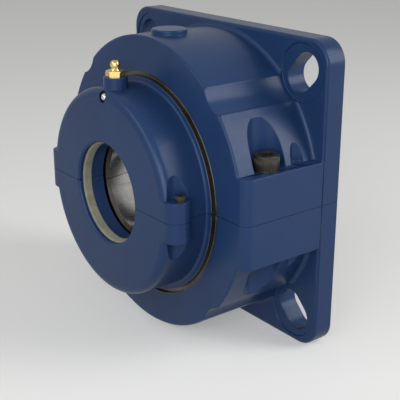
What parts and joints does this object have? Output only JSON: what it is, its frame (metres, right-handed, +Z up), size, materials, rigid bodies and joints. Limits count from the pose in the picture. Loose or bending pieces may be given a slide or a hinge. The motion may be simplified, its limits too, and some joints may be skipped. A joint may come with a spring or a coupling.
{
  "type": "split roller bearing unit",
  "caption": "Split roller bearing in a swivelling split cartridge and a split square-flanged cast housing, with clamped race, caged rollers, felt seals and grease nipple.",
  "frame": {"origin": "centre of the bearing on the shaft's axis, where the cartridge swivels", "axes": "Y along the shaft, the open front towards -Y and the flange's back towards +Y; +Z up, square to the joint of the halves; +X right as seen from the front"},
  "size_m": [0.206, 0.1095, 0.206],
  "materials": {
    "housing_paint": "satin blue enamel on cast iron",
    "cartridge_paint": "satin blue enamel on cast iron",
    "oxide_steel": "brown-black oxide",
    "ground_steel": "ground, with phosphated ends",
    "polished_steel": "lapped bright",
    "nipple_brass": "turned",
    "cage_brass": "machined",
    "felt": "oiled wool felt"
  },
  "bodies": {
    "housing": {"housing_upper": "housing_paint", "housing_lower": "housing_paint", "joint_screws": "oxide_steel", "joint_dowels": "polished_steel"},
    "cartridge": {"cartridge_upper": "cartridge_paint", "cartridge_lower": "cartridge_paint", "cartridge_screws": "oxide_steel", "cartridge_dowels": "polished_steel", "felt_seal_front": "felt", "felt_seal_rear": "felt", "outer_ring_upper": "ground_steel", "outer_ring_lower": "ground_steel", "grease_nipple": "nipple_brass", "duct_ball": "polished_steel"},
    "inner_race": {"inner_ring_upper": "ground_steel", "inner_ring_lower": "ground_steel", "clamp_ring_front_left": "oxide_steel", "clamp_ring_front_right": "oxide_steel", "clamp_ring_rear_left": "oxide_steel", "clamp_ring_rear_right": "oxide_steel", "clamp_screws": "oxide_steel"},
    "cage": {"cage_upper": "cage_brass", "cage_lower": "cage_brass", "cage_clips": "oxide_steel"},
    "roller_01": {"roller_01": "polished_steel"},
    "roller_02": {"roller_02": "polished_steel"},
    "roller_03": {"roller_03": "polished_steel"},
    "roller_04": {"roller_04": "polished_steel"},
    "roller_05": {"roller_05": "polished_steel"},
    "roller_06": {"roller_06": "polished_steel"},
    "roller_07": {"roller_07": "polished_steel"},
    "roller_08": {"roller_08": "polished_steel"},
    "roller_09": {"roller_09": "polished_steel"},
    "roller_10": {"roller_10": "polished_steel"},
    "roller_11": {"roller_11": "polished_steel"},
    "roller_12": {"roller_12": "polished_steel"},
    "roller_13": {"roller_13": "polished_steel"},
    "roller_14": {"roller_14": "polished_steel"},
    "roller_15": {"roller_15": "polished_steel"},
    "roller_16": {"roller_16": "polished_steel"},
    "nipple_ball": {"nipple_ball": "polished_steel"}
  },
  "joints": [
    {"name": "cartridge_swivel", "type": "hinge", "parent": "housing", "child": "cartridge", "pos_m": [0, 0, 0], "axis": [1, 0, 0], "range_deg": [-2.5, 2.5]},
    {"name": "shaft_spin", "type": "hinge", "parent": "cartridge", "child": "inner_race", "pos_m": [0, 0, 0], "axis": [0, 1, 0], "continuous": true},
    {"name": "cage_spin", "type": "hinge", "parent": "cartridge", "child": "cage", "pos_m": [0, 0, 0], "axis": [0, 1, 0], "continuous": true},
    {"name": "nipple_ball_slide", "type": "slide", "parent": "cartridge", "child": "nipple_ball", "axis": [0, 0, 1], "range_m": [-0.0008, 0], "stiffness_N_per_m": 300},
    {"name": "roller_01_spin", "type": "hinge", "parent": "cage", "child": "roller_01", "pos_m": [0.04545, 0, 0.01216], "axis": [0, 1, 0], "continuous": true},
    {"name": "roller_02_spin", "type": "hinge", "parent": "cage", "child": "roller_02", "pos_m": [0.03787, 0, 0.02793], "axis": [0, 1, 0], "continuous": true},
    {"name": "roller_03_spin", "type": "hinge", "parent": "cage", "child": "roller_03", "pos_m": [0.02504, 0, 0.03983], "axis": [0, 1, 0], "continuous": true},
    {"name": "roller_04_spin", "type": "hinge", "parent": "cage", "child": "roller_04", "pos_m": [0.00875, 0, 0.04623], "axis": [0, 1, 0], "continuous": true},
    {"name": "roller_05_spin", "type": "hinge", "parent": "cage", "child": "roller_05", "pos_m": [-0.00875, 0, 0.04623], "axis": [0, 1, 0], "continuous": true},
    {"name": "roller_06_spin", "type": "hinge", "parent": "cage", "child": "roller_06", "pos_m": [-0.02504, 0, 0.03983], "axis": [0, 1, 0], "continuous": true},
    {"name": "roller_07_spin", "type": "hinge", "parent": "cage", "child": "roller_07", "pos_m": [-0.03787, 0, 0.02793], "axis": [0, 1, 0], "continuous": true},
    {"name": "roller_08_spin", "type": "hinge", "parent": "cage", "child": "roller_08", "pos_m": [-0.04545, 0, 0.01216], "axis": [0, 1, 0], "continuous": true},
    {"name": "roller_09_spin", "type": "hinge", "parent": "cage", "child": "roller_09", "pos_m": [-0.04545, 0, -0.01216], "axis": [0, 1, 0], "continuous": true},
    {"name": "roller_10_spin", "type": "hinge", "parent": "cage", "child": "roller_10", "pos_m": [-0.03787, 0, -0.02793], "axis": [0, 1, 0], "continuous": true},
    {"name": "roller_11_spin", "type": "hinge", "parent": "cage", "child": "roller_11", "pos_m": [-0.02504, 0, -0.03983], "axis": [0, 1, 0], "continuous": true},
    {"name": "roller_12_spin", "type": "hinge", "parent": "cage", "child": "roller_12", "pos_m": [-0.00875, 0, -0.04623], "axis": [0, 1, 0], "continuous": true},
    {"name": "roller_13_spin", "type": "hinge", "parent": "cage", "child": "roller_13", "pos_m": [0.00875, 0, -0.04623], "axis": [0, 1, 0], "continuous": true},
    {"name": "roller_14_spin", "type": "hinge", "parent": "cage", "child": "roller_14", "pos_m": [0.02504, 0, -0.03983], "axis": [0, 1, 0], "continuous": true},
    {"name": "roller_15_spin", "type": "hinge", "parent": "cage", "child": "roller_15", "pos_m": [0.03787, 0, -0.02793], "axis": [0, 1, 0], "continuous": true},
    {"name": "roller_16_spin", "type": "hinge", "parent": "cage", "child": "roller_16", "pos_m": [0.04545, 0, -0.01216], "axis": [0, 1, 0], "continuous": true}
  ],
  "couplings": [
    {"joint": "cage_spin", "follows": "shaft_spin", "ratio": 0.43617},
    {"joint": "roller_01_spin", "follows": "shaft_spin", "ratio": -3.8529},
    {"joint": "roller_02_spin", "follows": "shaft_spin", "ratio": -3.8529},
    {"joint": "roller_03_spin", "follows": "shaft_spin", "ratio": -3.8529},
    {"joint": "roller_04_spin", "follows": "shaft_spin", "ratio": -3.8529},
    {"joint": "roller_05_spin", "follows": "shaft_spin", "ratio": -3.8529},
    {"joint": "roller_06_spin", "follows": "shaft_spin", "ratio": -3.8529},
    {"joint": "roller_07_spin", "follows": "shaft_spin", "ratio": -3.8529},
    {"joint": "roller_08_spin", "follows": "shaft_spin", "ratio": -3.8529},
    {"joint": "roller_09_spin", "follows": "shaft_spin", "ratio": -3.8529},
    {"joint": "roller_10_spin", "follows": "shaft_spin", "ratio": -3.8529},
    {"joint": "roller_11_spin", "follows": "shaft_spin", "ratio": -3.8529},
    {"joint": "roller_12_spin", "follows": "shaft_spin", "ratio": -3.8529},
    {"joint": "roller_13_spin", "follows": "shaft_spin", "ratio": -3.8529},
    {"joint": "roller_14_spin", "follows": "shaft_spin", "ratio": -3.8529},
    {"joint": "roller_15_spin", "follows": "shaft_spin", "ratio": -3.8529},
    {"joint": "roller_16_spin", "follows": "shaft_spin", "ratio": -3.8529}
  ]
}
